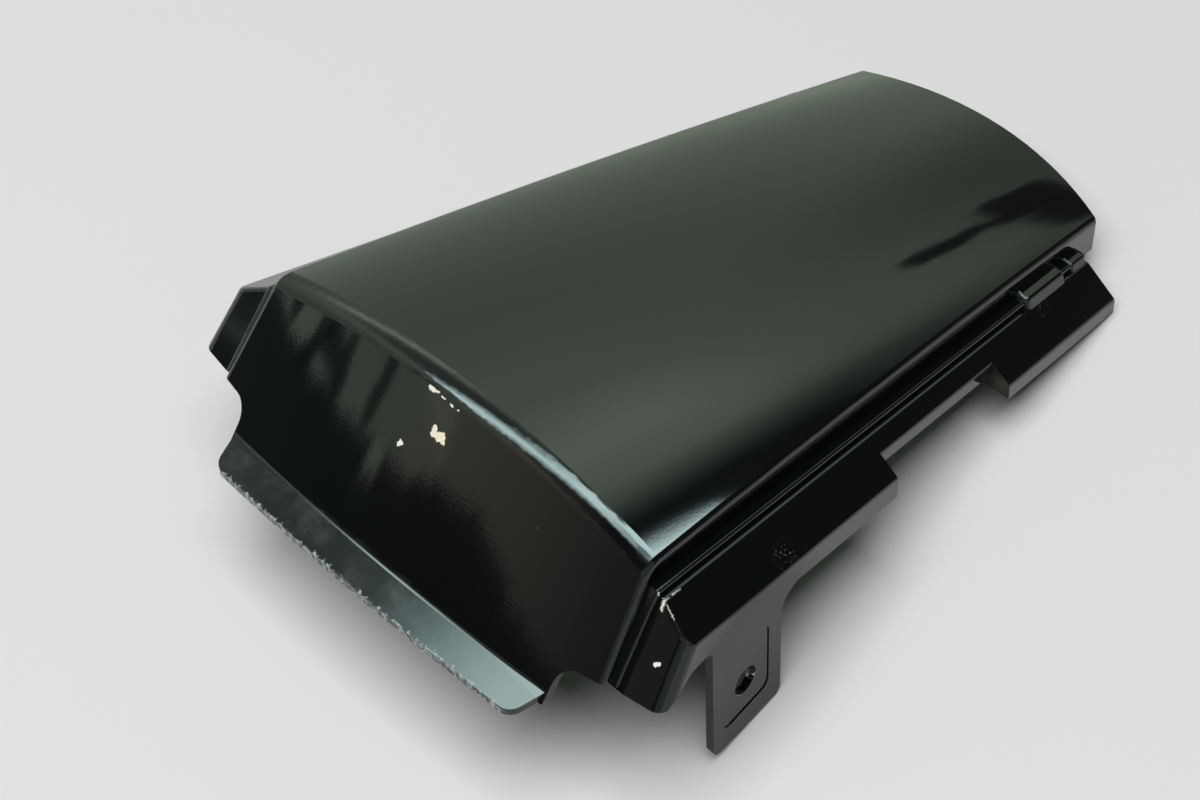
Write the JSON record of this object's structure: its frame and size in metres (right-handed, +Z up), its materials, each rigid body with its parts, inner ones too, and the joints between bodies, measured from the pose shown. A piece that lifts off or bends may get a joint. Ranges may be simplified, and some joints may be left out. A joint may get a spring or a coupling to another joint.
{
  "type": "motorcycle tail trim cover",
  "caption": "Arched tapering tail cover shell with a raked lipped front face, stepped side flanges with rear tabs, and two drilled fixing lugs.",
  "frame": {"origin": "centre of the bounding box, on the floor the cover rests on", "axes": "+X from the lipped front face to the rear edge, +Y across to the left side, +Z up"},
  "size_m": [0.2652, 0.177, 0.0835],
  "materials": {
    "gloss_black": "gloss black paint on moulded plastic"
  },
  "bodies": {
    "root": {"tail_cover": "gloss_black"}
  },
  "joints": []
}
